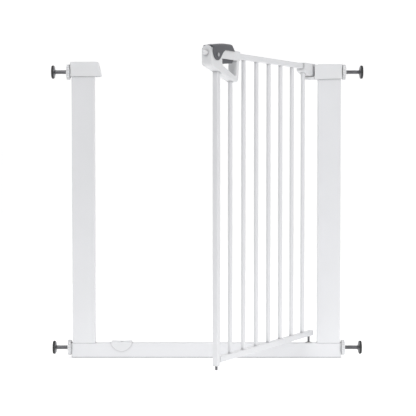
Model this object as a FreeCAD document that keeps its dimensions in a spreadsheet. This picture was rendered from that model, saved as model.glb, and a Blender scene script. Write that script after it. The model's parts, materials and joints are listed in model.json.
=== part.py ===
import FreeCAD, Part
import math
import os
from types import SimpleNamespace

import Sketcher
from FreeCAD import Placement, Rotation, Vector

# A pressure-mounted safety gate. X runs across the doorway, +Y away from the side that the door
# opens to, Z up. The origin is on the floor, midway between the two posts and midway through
# the depth of the frame. The door stands open by door_open degrees.
# Door pieces are drawn in the door's own frame: x runs from the hinge axis towards the latch,
# y is the side that faces forward when the door is open, z is up.

# Driving dimensions, in millimetres and degrees.
SIZES = {
    # frame of steel tube
    "frame_width": 706,
    "frame_depth": 25,
    "post_width": 60,
    "post_top": 770,
    "beam_height": 40,
    "frame_wall": 1.5,
    "frame_corner": 2,
    # fits
    "slip_gap": 0.1,
    "part_gap": 0.3,
    # tension spindles, their heads, rubber pads and wheel nuts
    "spindle_radius": 5,
    "spindle_bore": 5.1,
    "spindle_hole": 5.6,
    "spindle_length": 72,
    "spindle_top": 754,
    "spindle_low": 27,
    "reach_left": 53,
    "reach_right": 58,
    "head_radius": 16.6,
    "head_rim": 3,
    "head_dome": 2.4,
    "head_neck": 6,
    "pad_radius": 17.3,
    "pad_floor": 3.8,
    "pad_lip": 1.8,
    "nut_radius": 20,
    "nut_thick": 8.8,
    "nut_collar_radius": 15,
    "nut_collar": 1.2,
    "nut_grip_radius": 2.6,
    "nut_grip_centre": 21,
    "nut_dish_radius": 12,
    "nut_dish": 1.6,
    # plugs in the tube ends
    "plug_length": 40,
    "plug_height": 32,
    "plug_flange": 3,
    # strike cap on the left post
    "cap_depth": 32,
    "cap_outer": 356.4,
    "cap_low": 742,
    "cap_top": 780.4,
    "cap_inner_top": 283,
    "cap_inner_low": 274.4,
    "cap_round": 2,
    "strike_radius": 5.8,
    "strike_end": 291.5,
    # hinge bracket on the right post
    "bracket_outer": 356,
    "bracket_low": 736.4,
    "bracket_left_low": 734.2,
    "bracket_top": 774.6,
    "bracket_left": 292,
    "lip_left": 284,
    "lip_thick": 3.3,
    "lip_top": 773,
    "ear_top": 741,
    "ear_radius": 12.3,
    # hinge
    "hinge_x": 271.2,
    "door_open": 60,
    "upper_pin_radius": 4,
    "upper_pin_bore": 4.08,
    "upper_pin_top": 767,
    "bush_radius": 8,
    "bush_flange_radius": 11.4,
    "bush_flange_top": 743,
    "bush_top": 766,
    "bush_key_width": 3,
    "bush_key_reach": 10,
    "knuckle_radius": 12.3,
    "knuckle_reach": 6,
    "sleeve_length": 52,
    "sleeve_low": 743.2,
    "sleeve_top": 775.4,
    "sleeve_mouth_low": 755,
    "sleeve_curve_start": 9,
    "sleeve_curve_radius": 84,
    "sleeve_seam": 765,
    "sleeve_seam_width": 1.8,
    "sleeve_seam_depth": 1.4,
    "lower_pin_radius": 3,
    "lower_pin_bore": 3.08,
    "lower_pin_low": 22.2,
    "lower_bush_radius": 6,
    "lower_bush_flange": 8,
    "lower_bush_low": 20,
    "lower_bush_floor": 22,
    "lower_bush_top": 41.6,
    # door of steel tube and bar
    "rail_side": 14,
    "rail_wall": 1.2,
    "rail_corner": 2,
    "top_rail_low": 760,
    "top_rail_start": 13.8,
    "top_rail_end": 483.5,
    "bottom_rail_low": 57.5,
    "bottom_rail_start": -12,
    "stile_r": 495,
    "stile_low": 53,
    "stile_top": 740,
    "stile_corner": 2.5,
    "bar_radius": 5.25,
    "bar_wall": 1.2,
    "bar_pitch": 65,
    "last_bar_top": 713,
    "foot_pin_low": 40.8,
    "foot_pin_radius": 3,
    "foot_plug_low": 50.8,
    # floor catch on the beam
    "catch_x": -224,
    "catch_width": 54,
    "catch_top": 43.8,
    "catch_dip": 1.3,
    "catch_edge": 37.5,
    "catch_low": 18.3,
    "catch_skirt": 3,
    "catch_hole": 4.2,
    # handle shells
    "handle_half": 12.5,
    "handle_wall": 2,
    "handle_round": 3.6,
    "finger_drop": 5,
    "handle_end": 540,
    "handle_top": 777,
    "handle_block": 782.4,
    "handle_block_start": 535.5,
    "bolt_height": 765,
    "bolt_radius": 5,
    "bolt_bore": 5.3,
    "bolt_tip": 556,
    "bolt_neck_radius": 3,
    "bolt_neck_start": 499.5,
    "bolt_neck_end": 508.5,
    "bolt_rear": 496,
    # thumb slider
    "tab_face": 14.5,
    "tab_thick": 1.35,
    "rub_pad": 0.4,
    "leg_half": 4,
    "leg_start": 500,
    "leg_end": 508,
    # screws
    "screw_radius": 1.5,
    "screw_hole": 1.65,
    "screw_head": 3,
    "screw_head_hole": 3.25,
    "screw_head_deep": 2,
}


class Size:
    """A number together with the sheet expression that gives it."""

    def __init__(self, number, text):
        self.number = float(number)
        self.text = text

    def __add__(self, other):
        other = as_size(other)
        return Size(self.number + other.number, f"({self.text} + {other.text})")

    def __sub__(self, other):
        other = as_size(other)
        return Size(self.number - other.number, f"({self.text} - {other.text})")

    def __mul__(self, other):
        other = as_size(other)
        return Size(self.number * other.number, f"({self.text} * {other.text})")

    def __truediv__(self, other):
        other = as_size(other)
        return Size(self.number / other.number, f"({self.text} / {other.text})")

    def __neg__(self):
        return Size(-self.number, f"(0 - {self.text})")

    def __radd__(self, other):
        return as_size(other) + self

    def __rsub__(self, other):
        return as_size(other) - self

    def __rmul__(self, other):
        return as_size(other) * self


def as_size(item):
    """A Size for a plain number, and a Size unchanged."""
    if isinstance(item, Size):
        return item
    return Size(item, f"({item:.6g})")


doc = FreeCAD.newDocument("safety_gate")
sheet = doc.addObject("Spreadsheet::Sheet", "sizes")
for row, (alias, number) in enumerate(SIZES.items(), start=1):
    sheet.set(f"A{row}", alias)
    sheet.set(f"B{row}", str(number))
    sheet.setAlias(f"B{row}", alias)
doc.recompute()
size = SimpleNamespace(**{name: Size(number, f"sizes.{name}") for name, number in SIZES.items()})

NODES = []  # every finished sub-part, in the order it was made


# ---------------------------------------------------------------------------
# drawing helpers
# ---------------------------------------------------------------------------

AXES = {"XY": Vector(0, 0, 1), "YZ": Vector(1, 0, 0), "XZ": Vector(0, 1, 0)}


def bind(item, path, wanted):
    """Bind a property of an object to a Size."""
    item.setExpression(path, as_size(wanted).text)


def new_body(name):
    body = doc.addObject("PartDesign::Body", name)
    body.Label = name
    return body


def new_sketch(body, plane, at=0):
    """A sketch on the body's origin plane, moved to the coordinate at along the plane's axis."""
    role = plane + "_Plane"
    support = next(item for item in body.Origin.OriginFeatures if item.Role == role)
    sketch = body.newObject("Sketcher::SketchObject", body.Name + "_sketch")
    sketch.AttachmentSupport = (support, "")
    sketch.MapMode = "FlatFace"
    # the XZ plane's normal points to -Y
    offset = -as_size(at) if plane == "XZ" else as_size(at)
    bind(sketch, ".AttachmentOffset.Base.z", offset)
    return sketch


def hold_point(sketch, geometry, end, x, y):
    """Hold one point of a sketch at two coordinates."""
    for kind, wanted in (("DistanceX", as_size(x)), ("DistanceY", as_size(y))):
        held = Sketcher.Constraint(kind, -1, 1, geometry, end, wanted.number)
        index = sketch.addConstraint(held)
        bind(sketch, f"Constraints[{index}]", wanted)


def arc_between(start, end, radius, bulge):
    """The arc from start to end of a radius that bulges to the left (+1) or right (-1)."""
    chord = end - start
    half = chord.Length / 2
    left = Vector(-chord.y, chord.x, 0).normalize()
    middle = (start + end) / 2
    centre = middle - left * bulge * math.sqrt(radius * radius - half * half)
    # an arc of a sketch always runs anticlockwise
    first, last = (end, start) if bulge > 0 else (start, end)
    angles = [math.atan2(point.y - centre.y, point.x - centre.x) for point in (first, last)]
    if angles[1] < angles[0]:
        angles[1] += 2 * math.pi
    return Part.ArcOfCircle(Part.Circle(centre, Vector(0, 0, 1), radius), *angles)


def outline(sketch, corners):
    """A closed outline. A corner is (x, y), or (x, y, radius, bulge) when an arc leads on from it."""
    first = sketch.GeometryCount
    count = len(corners)
    points = [Vector(as_size(c[0]).number, as_size(c[1]).number, 0) for c in corners]
    starts = []  # which end of each side is the corner it leaves from
    for index, corner in enumerate(corners):
        here = points[index]
        there = points[(index + 1) % count]
        if len(corner) == 2:
            sketch.addGeometry(Part.LineSegment(here, there), False)
            starts.append(1)
        else:
            radius = as_size(corner[2])
            arc = arc_between(here, there, radius.number, corner[3])
            geometry = sketch.addGeometry(arc, False)
            starts.append(1 if corner[3] < 0 else 2)
            index_radius = sketch.addConstraint(
                Sketcher.Constraint("Radius", geometry, radius.number)
            )
            bind(sketch, f"Constraints[{index_radius}]", radius)
    for index, corner in enumerate(corners):
        following = (index + 1) % count
        leaving = 2 if starts[index] == 1 else 1
        sketch.addConstraint(
            Sketcher.Constraint(
                "Coincident", first + index, leaving, first + following, starts[following]
            )
        )
        hold_point(sketch, first + index, starts[index], corner[0], corner[1])


def rectangle(sketch, x_low, x_high, y_low, y_high):
    outline(sketch, [(x_low, y_low), (x_high, y_low), (x_high, y_high), (x_low, y_high)])


def circle(sketch, x, y, radius):
    radius = as_size(radius)
    centre = Vector(as_size(x).number, as_size(y).number, 0)
    geometry = sketch.addGeometry(Part.Circle(centre, Vector(0, 0, 1), radius.number), False)
    held = sketch.addConstraint(Sketcher.Constraint("Radius", geometry, radius.number))
    bind(sketch, f"Constraints[{held}]", radius)
    hold_point(sketch, geometry, 3, x, y)


def normal_sign(sketch):
    support = sketch.AttachmentSupport[0][0]
    return -1 if support.Role == "XZ_Plane" else 1


def pad(body, sketch, length, way=1):
    """Add the sketch's area over a length, towards +1 or -1 along the plane's axis, or 0 both."""
    feature = body.newObject("PartDesign::Pad", body.Name + "_pad")
    feature.Profile = sketch
    bind(feature, "Length", length)
    if way == 0:
        feature.SideType = "Symmetric"
    else:
        feature.Reversed = way * normal_sign(sketch) < 0
    doc.recompute()
    return feature


def pocket(body, sketch, length, way=1):
    """Take the sketch's area away over a length, and make sure that something was cut."""
    before = body.Shape.Volume
    feature = body.newObject("PartDesign::Pocket", body.Name + "_pocket")
    feature.Profile = sketch
    bind(feature, "Length", length)
    if way == 0:
        feature.SideType = "Symmetric"
    else:
        feature.Reversed = way * normal_sign(sketch) > 0
    doc.recompute()
    assert body.Shape.Volume < before - 1e-3, f"{feature.Name} cuts nothing"
    return feature


def turn(body, sketch):
    """Turn a half section about the sketch's vertical axis."""
    feature = body.newObject("PartDesign::Revolution", body.Name + "_turn")
    feature.Profile = sketch
    feature.ReferenceAxis = (sketch, ["V_Axis"])
    feature.Angle = 360
    doc.recompute()
    return feature


def drill(body, plane, at, x, y, radius, depth, way):
    """A round hole from a plane. x and y are the plane's own coordinates."""
    sketch = new_sketch(body, plane, at)
    circle(sketch, x, y, radius)
    return pocket(body, sketch, depth, way)


def cut_box(body, plane, at, spans, depth, way=1):
    """A rectangular pocket from a plane. spans is (x_low, x_high, y_low, y_high)."""
    sketch = new_sketch(body, plane, at)
    rectangle(sketch, *spans)
    return pocket(body, sketch, depth, way)


def edges_along(feature, axis, near=None, reach=0.5):
    """Names of the straight edges along an axis, all of them or those within reach of a point."""
    names = []
    for index, edge in enumerate(feature.Shape.Edges, start=1):
        if not isinstance(edge.Curve, Part.Line):
            continue
        if edge.Curve.Direction.cross(axis).Length > 1e-6:
            continue
        middle = edge.CenterOfMass
        if near is None:
            names.append(f"Edge{index}")
            continue
        for point in near:
            away = (middle - point).cross(axis)
            if away.Length < reach:
                names.append(f"Edge{index}")
                break
    return names


def edges_where(feature, wanted):
    """Names of the edges whose box passes a test."""
    named = enumerate(feature.Shape.Edges, start=1)
    return [f"Edge{index}" for index, edge in named if wanted(edge.BoundBox)]


def fillet(body, base, names, radius):
    assert names, f"no edge of {base.Name} to round"
    feature = body.newObject("PartDesign::Fillet", body.Name + "_fillet")
    feature.Base = (base, names)
    bind(feature, "Radius", radius)
    doc.recompute()
    assert not feature.Shape.isNull() and feature.Shape.isValid(), f"{feature.Name} failed"
    return feature


def finish(item, at=(0, 0, 0), axis=Vector(0, 0, 1), angle=0):
    """Place a finished sub-part and put it on the list of nodes."""
    item.Placement = Placement(Vector(0, 0, 0), Rotation(axis, as_size(angle).number))
    for name, wanted in zip("xyz", at):
        bind(item, f"Placement.Base.{name}", wanted)
    if isinstance(angle, Size):
        bind(item, "Placement.Rotation.Angle", angle)
    NODES.append(item)
    return item


def finish_on_door(item):
    """Place a sub-part that is drawn in the door's own frame."""
    return finish(item, at=(size.hinge_x, 0, 0), angle=180 + size.door_open)


def rectangular_tube(name, plane, spans, start, length, wall, corner):
    """A steel tube with rounded corners. spans is its section's (x_low, x_high, y_low, y_high)."""
    body = new_body(name)
    outside = new_sketch(body, plane, start)
    rectangle(outside, *spans)
    solid = pad(body, outside, length)
    fillet(body, solid, edges_along(solid, AXES[plane]), corner)
    x_low, x_high, y_low, y_high = spans
    inside = (x_low + wall, x_high - wall, y_low + wall, y_high - wall)
    cut_box(body, plane, start, inside, length)
    return body


def turned_piece(name, corners):
    """A piece turned about Z. corners are (radius, height) pairs of its half section."""
    body = new_body(name)
    section = new_sketch(body, "XZ")
    outline(section, corners)
    turn(body, section)
    return body


# ---------------------------------------------------------------------------
# frame: welded steel tube, plugs and plastic caps
# ---------------------------------------------------------------------------

half_width = size.frame_width / 2
half_depth = size.frame_depth / 2
post_centre = half_width - size.post_width / 2
SIDES = {"left": -1, "right": 1}
CAP_SCREWS = {"left": [-323], "right": [307, 339]}  # x of the screws behind the caps
SCREW_HEIGHT = 765
CATCH_SCREW_HEIGHT = 30
SCREW_LENGTH = 14


def make_post(name, side):
    centre = side * post_centre
    half_post = size.post_width / 2
    spans = (centre - half_post, centre + half_post, -half_depth, half_depth)
    height = size.post_top - size.beam_height
    body = rectangular_tube(
        name + "_post", "XY", spans, size.beam_height, height, size.frame_wall, size.frame_corner
    )
    outside = side * (half_width + 1)
    drill(body, "YZ", outside, 0, size.spindle_top, size.spindle_hole, size.frame_wall + 2, -side)
    for x in CAP_SCREWS[name]:
        drill(
            body, "XZ", half_depth + 1, x, SCREW_HEIGHT, size.screw_hole, size.frame_wall + 2, -1
        )
    finish(body)


def make_post_plug(name, side):
    """Plastic plug that closes the post's top and guides the spindle."""
    body = new_body(f"post_plug_{name}")
    centre = side * post_centre
    half_plug = size.post_width / 2 - size.frame_wall - size.slip_gap
    half_thick = half_depth - size.frame_wall - size.slip_gap
    section = new_sketch(body, "XY", size.post_top - size.plug_height)
    rectangle(section, centre - half_plug, centre + half_plug, -half_thick, half_thick)
    solid = pad(body, section, size.plug_height)
    fillet(body, solid, edges_along(solid, AXES["XY"]), size.frame_corner / 2)
    outside = side * half_width
    drill(body, "YZ", outside, 0, size.spindle_top, size.spindle_bore, size.post_width, -side)
    for x in CAP_SCREWS[name]:
        drill(body, "XZ", half_depth, x, SCREW_HEIGHT, size.screw_hole, 12, -1)
    finish(body)


def make_beam():
    spans = (-half_depth, half_depth, 0, size.beam_height)
    body = rectangular_tube(
        "bottom_beam",
        "YZ",
        spans,
        -half_width,
        size.frame_width,
        size.frame_wall,
        size.frame_corner,
    )
    hole = size.lower_bush_radius + size.slip_gap
    drill(body, "XY", size.beam_height + 1, size.hinge_x, 0, hole, size.frame_wall + 2, -1)
    depth = size.frame_wall + 2
    drill(
        body, "XZ", half_depth + 1, size.catch_x, CATCH_SCREW_HEIGHT, size.screw_hole, depth, -1
    )
    finish(body)


def make_beam_plug(name, side):
    """Plastic plug in the beam's end, with the lower spindle's guide bore."""
    body = new_body(f"beam_plug_{name}")
    margin = 0.4
    section = new_sketch(body, "YZ", side * half_width)
    rectangle(
        section, -half_depth + margin, half_depth - margin, margin, size.beam_height - margin
    )
    flange = pad(body, section, size.plug_flange, side)
    fillet(body, flange, edges_along(flange, AXES["YZ"]), size.frame_corner)
    inset = size.frame_wall + size.slip_gap
    inner = new_sketch(body, "YZ", side * half_width)
    rectangle(inner, -half_depth + inset, half_depth - inset, inset, size.beam_height - inset)
    pad(body, inner, size.plug_length, -side)
    outside = side * (half_width + size.plug_flange + 1)
    through = size.plug_length + size.plug_flange + 2
    drill(body, "YZ", outside, 0, size.spindle_low, size.spindle_bore, through, -side)
    finish(body)


def cut_post_room(body, side, low):
    """The room that a cap keeps for the top of its post, and its spindle and screw holes."""
    centre = side * post_centre
    half_post = size.post_width / 2 + size.slip_gap
    half_room = half_depth + size.slip_gap
    spans = (centre - half_post, centre + half_post, -half_room, half_room)
    cut_box(body, "XY", low - 5, spans, size.post_top - low + 5.2)
    outside = side * (half_width + 6)
    drill(body, "YZ", outside, 0, size.spindle_top, size.spindle_hole, 12, -side)
    back = size.cap_depth / 2
    name = "left" if side < 0 else "right"
    for x in CAP_SCREWS[name]:
        drill(body, "XZ", back + 1, x, SCREW_HEIGHT, size.screw_hole, 6, -1)
        head_room = size.screw_head_deep + 1
        drill(body, "XZ", back + 1, x, SCREW_HEIGHT, size.screw_head_hole, head_room, -1)


def make_strike_cap():
    """White cap on the left post, with the round pocket that the latch bolt enters."""
    body = new_body("strike_cap")
    side_view = new_sketch(body, "XZ")
    outline(
        side_view,
        [
            (-size.cap_outer, size.cap_low),
            (-size.cap_inner_low, size.cap_low),
            (-size.cap_inner_top, size.cap_top),
            (-size.cap_outer, size.cap_top),
        ],
    )
    solid = pad(body, side_view, size.cap_depth, 0)
    above = SIZES["cap_low"] + 1
    rounded = edges_where(solid, lambda box: box.ZMax > above)
    fillet(body, solid, rounded, size.cap_round)
    cut_post_room(body, -1, size.cap_low)
    depth = size.strike_end - size.cap_inner_low + 1
    drill(body, "YZ", -size.cap_inner_low + 1, 0, size.bolt_height, size.strike_radius, depth, -1)
    # the part beside the post is open underneath
    hollow = (-size.strike_end, -size.cap_inner_low - 5, -half_depth, half_depth)
    cut_box(body, "XY", size.cap_low - 1, hollow, 15)
    finish(body)


def make_hinge_bracket():
    """White cap on the right post, with the ear that carries the upper hinge pin."""
    body = new_body("hinge_bracket")
    side_view = new_sketch(body, "XZ")
    outline(
        side_view,
        [
            (size.bracket_left, size.bracket_left_low),
            (size.bracket_outer, size.bracket_low),
            (size.bracket_outer, size.bracket_top),
            (size.bracket_left, size.bracket_top),
        ],
    )
    solid = pad(body, side_view, size.cap_depth, 0)
    above = SIZES["bracket_low"] + 1
    rounded = edges_where(solid, lambda box: box.ZMax > above)
    fillet(body, solid, rounded, size.cap_round)
    # the ear, round about the hinge axis and widening to the bracket
    ear_low = size.bracket_left_low
    plan = new_sketch(body, "XY", ear_low)
    root = size.bracket_left + 2
    half_root = size.cap_depth / 2 - 1
    outline(
        plan,
        [
            (root, -half_root),
            (root, half_root),
            (size.hinge_x, size.ear_radius, size.ear_radius, -1),
            (size.hinge_x - size.ear_radius, 0, size.ear_radius, -1),
            (size.hinge_x, -size.ear_radius),
        ],
    )
    pad(body, plan, size.ear_top - ear_low)
    # the front lip closes the gap to the knuckle, and stays outside the knuckle's swing
    lip = new_sketch(body, "XY", ear_low)
    front = size.cap_depth / 2
    rectangle(lip, size.lip_left, root, -front, size.lip_thick - front)
    pad(body, lip, size.lip_top - ear_low)
    cut_post_room(body, 1, size.bracket_low)
    pin_hole = size.upper_pin_radius + 0.03
    drill(body, "XY", ear_low - 1, size.hinge_x, 0, pin_hole, 10, 1)
    finish(body)


def make_floor_catch():
    """Saddle over the beam, with half-moon skirts and a hole for the door's foot pin."""
    body = new_body("floor_catch")
    half = size.catch_width / 2
    outer_half = half_depth + size.catch_skirt
    front = new_sketch(body, "XZ")
    moon_radius = 34
    outline(
        front,
        [
            (size.catch_x - half, size.catch_top),
            (size.catch_x - half, size.catch_edge, moon_radius, -1),
            (size.catch_x, size.catch_low, moon_radius, -1),
            (size.catch_x + half, size.catch_edge),
            (size.catch_x + half, size.catch_top),
            (size.catch_x, size.catch_top - size.catch_dip),
        ],
    )
    solid = pad(body, front, outer_half * 2, 0)
    rounded = edges_where(solid, lambda box: box.YLength < 1e-3 and box.ZMin > 36)
    fillet(body, solid, rounded, 0.8)
    room = half_depth + size.slip_gap
    spans = (size.catch_x - half - 1, size.catch_x + half + 1, 0, size.beam_height + size.slip_gap)
    cut_box(body, "XZ", 0, spans, room * 2, 0)
    drill(body, "XY", size.catch_top + 1, size.catch_x, 0, size.catch_hole, 6, -1)
    back = outer_half + 1
    drill(body, "XZ", back, size.catch_x, CATCH_SCREW_HEIGHT, size.screw_hole, 6, -1)
    finish(body)


def make_lower_hinge_bush():
    """Nylon cup in the beam that the door's lower pin stands in."""
    top = size.lower_bush_top
    flange_low = size.beam_height + 0.05
    body = turned_piece(
        "lower_hinge_bush",
        [
            (0, size.lower_bush_low),
            (size.lower_bush_radius, size.lower_bush_low),
            (size.lower_bush_radius, flange_low),
            (size.lower_bush_flange, flange_low),
            (size.lower_bush_flange, top),
            (size.lower_pin_bore, top),
            (size.lower_pin_bore, size.lower_bush_floor),
            (0, size.lower_bush_floor),
        ],
    )
    finish(body, at=(size.hinge_x, 0, 0))


def make_upper_hinge_pin():
    chamfer = 0.8
    radius = size.upper_pin_radius
    top = size.upper_pin_top
    low = size.bracket_left_low + 0.2
    body = turned_piece(
        "upper_hinge_pin",
        [
            (0, low),
            (radius - chamfer, low),
            (radius, low + chamfer),
            (radius, top - chamfer),
            (radius - chamfer, top),
            (0, top),
        ],
    )
    finish(body, at=(size.hinge_x, 0, 0))


def screw_shape(length, radius, head, head_height):
    """A pan-head screw along +Z, its head's top at the origin and its point at -length."""
    rim = head_height * 0.45
    points = [
        Vector(0, 0, 0),
        Vector(head * 0.55, 0, 0),
        Vector(head, 0, -rim),
        Vector(head, 0, -head_height),
        Vector(radius, 0, -head_height),
        Vector(radius, 0, -length + radius),
        Vector(0, 0, -length),
    ]
    wire = Part.makePolygon(points + [points[0]])
    solid = Part.Face(wire).revolve(Vector(0, 0, 0), Vector(0, 0, 1), 360)
    slot_width = head * 0.3
    slot = Part.makeBox(head * 1.3, slot_width, head_height * 0.5)
    slot.translate(Vector(-head * 0.65, -slot_width / 2, -head_height * 0.4))
    cross = slot.copy()
    cross.rotate(Vector(0, 0, 0), Vector(0, 0, 1), 90)
    return solid.cut(slot).cut(cross)


def screw_group(name, places, length, frame=None):
    """Identical screws in one node. Each place is where the head's top is and the way it faces."""
    number = sheet.get("screw_radius"), sheet.get("screw_head"), sheet.get("screw_head_deep")
    radius, head, head_height = (float(item) for item in number)
    screws = []
    for point, facing in places:
        screw = screw_shape(length, radius, head, head_height * 0.9)
        turned = Rotation(Vector(0, 0, 1), facing)
        screw.Placement = Placement(point, turned)
        screws.append(screw)
    item = doc.addObject("Part::Feature", name)
    item.Label = name
    item.Shape = Part.makeCompound(screws)
    if frame == "door":
        return finish_on_door(item)
    return finish(item)


def make_frame_screws():
    """Screws behind the strike cap, the hinge bracket and the floor catch."""
    rear = SIZES["cap_depth"] / 2 - 0.1
    backwards = Vector(0, 1, 0)
    places = [
        (Vector(x, rear, SCREW_HEIGHT), backwards) for row in CAP_SCREWS.values() for x in row
    ]
    catch_rear = SIZES["frame_depth"] / 2 + SIZES["catch_skirt"] + 1.9
    places.append((Vector(SIZES["catch_x"], catch_rear, CATCH_SCREW_HEIGHT), backwards))
    screw_group("frame_screws", places, SCREW_LENGTH)


# ---------------------------------------------------------------------------
# tension spindles: each a threaded rod with a domed head, a rubber pad and a wheel nut
# ---------------------------------------------------------------------------

WALL_GAP = 0.1  # between the steel head and the rubber that it sits in


def make_spindle(name, at, towards):
    """Threaded rod, drawn with its wall end at height 0 and its shaft upwards."""
    rim_low = size.pad_floor + WALL_GAP
    rim_top = rim_low + size.head_rim
    dome_top = rim_top + size.head_dome
    end = dome_top + size.spindle_length
    chamfer = 1
    body = turned_piece(
        "spindle_" + name,
        [
            (0, rim_low),
            (size.head_radius, rim_low),
            (size.head_radius, rim_top, 30, -1),
            (size.head_neck, dome_top),
            (size.spindle_radius, dome_top + 1.5),
            (size.spindle_radius, end - chamfer),
            (size.spindle_radius - chamfer, end),
            (0, end),
        ],
    )
    finish(body, at=at, axis=Vector(0, 1, 0), angle=-90 * towards)


def make_pad(name, at, towards):
    """Rubber disc with a lip round the spindle's head."""
    inner = size.head_radius + WALL_GAP
    top = size.pad_floor + size.pad_lip
    edge = 1.4
    body = turned_piece(
        "pad_" + name,
        [
            (0, 0),
            (size.pad_radius - edge, 0),
            (size.pad_radius, edge),
            (size.pad_radius, top),
            (inner, top),
            (inner, size.pad_floor),
            (0, size.pad_floor),
        ],
    )
    finish(body, at=at, axis=Vector(0, 1, 0), angle=-90 * towards)


def make_nut(name, at, towards):
    """White wheel nut with a fluted rim and a collar towards the frame."""
    body = new_body("nut_" + name)
    thick = size.nut_thick
    disc = new_sketch(body, "XY")
    circle(disc, 0, 0, size.nut_radius)
    solid = pad(body, disc, thick)
    rims = edges_where(solid, lambda box: box.ZLength < 1e-6)
    fillet(body, solid, rims, 1.2)
    flute = new_sketch(body, "XY", -1)
    circle(flute, size.nut_grip_centre, 0, size.nut_grip_radius)
    grip = pocket(body, flute, thick + 2)
    pattern = body.newObject("PartDesign::PolarPattern", body.Name + "_flutes")
    pattern.Originals = [grip]
    pattern.Axis = (flute, ["N_Axis"])
    pattern.Angle = 360
    pattern.Occurrences = 18
    body.Tip = pattern
    doc.recompute()
    collar = new_sketch(body, "XY", thick)
    circle(collar, 0, 0, size.nut_collar_radius)
    pad(body, collar, size.nut_collar)
    drill(body, "XY", 0, 0, 0, size.nut_dish_radius, size.nut_dish, 1)
    drill(body, "XY", -1, 0, 0, size.spindle_bore, thick + size.nut_collar + 3, 1)
    finish(body, at=at, axis=Vector(0, 1, 0), angle=-90 * towards)


def make_spindle_set(name, side, height, cover):
    """One spindle with its pad and nut. cover is how far out the frame's side is at that height."""
    reach = size.reach_left if side < 0 else size.reach_right
    wall = side * (half_width + reach)
    make_spindle(name, (wall, 0, height), side)
    make_pad(name, (wall, 0, height), side)
    nut_outside = side * (cover + 0.2 + size.nut_thick + size.nut_collar)
    make_nut(name, (nut_outside, 0, height), side)


# ---------------------------------------------------------------------------
# door: welded rails, bars and stile
# ---------------------------------------------------------------------------

half_rail = size.rail_side / 2
top_rail_middle = size.top_rail_low + half_rail
bottom_rail_top = size.bottom_rail_low + size.rail_side
SLEEVE_SCREW_R = 26
BAR_COUNT = 7


def make_rail(name, start, end, low):
    spans = (-half_rail, half_rail, low, low + size.rail_side)
    return rectangular_tube(
        name, "YZ", spans, start, end - start, size.rail_wall, size.rail_corner
    )


def make_rails():
    top = make_rail("top_rail", size.top_rail_start, size.top_rail_end, size.top_rail_low)
    depth = size.rail_wall + 2
    below_top = size.top_rail_low - 1
    drill(top, "XY", below_top, SLEEVE_SCREW_R, 0, size.screw_hole, depth, 1)
    finish_on_door(top)
    stile_face = size.stile_r - half_rail
    bottom = make_rail(
        "bottom_rail", size.bottom_rail_start, stile_face, size.bottom_rail_low
    )
    below_bottom = size.bottom_rail_low - 1
    pin_hole = size.lower_pin_radius + 0.05
    drill(bottom, "XY", below_bottom, 0, 0, pin_hole, depth, 1)
    finish_on_door(bottom)


def make_stile():
    low_x = size.stile_r - half_rail
    spans = (low_x, low_x + size.rail_side, -half_rail, half_rail)
    body = rectangular_tube(
        "door_stile",
        "XY",
        spans,
        size.stile_low,
        size.stile_top - size.stile_low,
        size.rail_wall,
        size.stile_corner,
    )
    finish_on_door(body)


def make_bar(number):
    """A round tube between the rails. The last one ends in the handle."""
    body = new_body(f"bar_{number}")
    x = size.stile_r - size.bar_pitch * (BAR_COUNT + 1 - number)
    top = size.last_bar_top if number == BAR_COUNT else size.top_rail_low
    ring = new_sketch(body, "XY", bottom_rail_top)
    circle(ring, x, 0, size.bar_radius)
    circle(ring, x, 0, size.bar_radius - size.bar_wall)
    pad(body, ring, top - bottom_rail_top)
    finish_on_door(body)


def make_lower_hinge_pin():
    chamfer = 1
    radius = size.lower_pin_radius
    low = size.lower_pin_low
    top = bottom_rail_top - size.rail_wall - 0.1
    body = turned_piece(
        "lower_hinge_pin",
        [(0, low), (radius - chamfer, low), (radius, low + chamfer), (radius, top), (0, top)],
    )
    finish_on_door(body)


def make_bottom_rail_plug():
    body = new_body("bottom_rail_plug")
    start = size.bottom_rail_start
    low = size.bottom_rail_low
    cover = new_sketch(body, "YZ", start)
    rectangle(cover, -half_rail, half_rail, low, low + size.rail_side)
    flange = pad(body, cover, 1.5, -1)
    fillet(body, flange, edges_along(flange, AXES["YZ"]), size.rail_corner)
    inset = size.rail_wall + size.slip_gap
    inner = new_sketch(body, "YZ", start)
    rectangle(
        inner, -half_rail + inset, half_rail - inset, low + inset, low + size.rail_side - inset
    )
    pad(body, inner, 7)
    finish_on_door(body)


def make_foot():
    """Plug in the stile's lower end and the pin that drops into the floor catch."""
    body = new_body("stile_foot_plug")
    x = size.stile_r
    cover = new_sketch(body, "XY", size.stile_low)
    rectangle(cover, x - half_rail, x + half_rail, -half_rail, half_rail)
    flange = pad(body, cover, size.stile_low - size.foot_plug_low, -1)
    fillet(body, flange, edges_along(flange, AXES["XY"]), size.stile_corner)
    half_inner = half_rail - size.rail_wall - size.slip_gap
    inner = new_sketch(body, "XY", size.stile_low)
    rectangle(inner, x - half_inner, x + half_inner, -half_inner, half_inner)
    pad(body, inner, 16)
    bore = size.foot_pin_radius + 0.03
    drill(body, "XY", size.foot_plug_low - 1, x, 0, bore, 14, 1)
    finish_on_door(body)

    low = size.foot_pin_low
    top = size.foot_plug_low + 12.8
    pin = new_body("foot_pin")
    section = new_sketch(pin, "XY", low)
    circle(section, x, 0, size.foot_pin_radius)
    solid = pad(pin, section, top - low)
    tip = edges_where(solid, lambda box: box.ZMax < SIZES["foot_pin_low"] + 0.01)
    fillet(pin, solid, tip, 1.2)
    finish_on_door(pin)


# ---------------------------------------------------------------------------
# upper hinge: nylon bush and the door's sleeve
# ---------------------------------------------------------------------------


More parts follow.
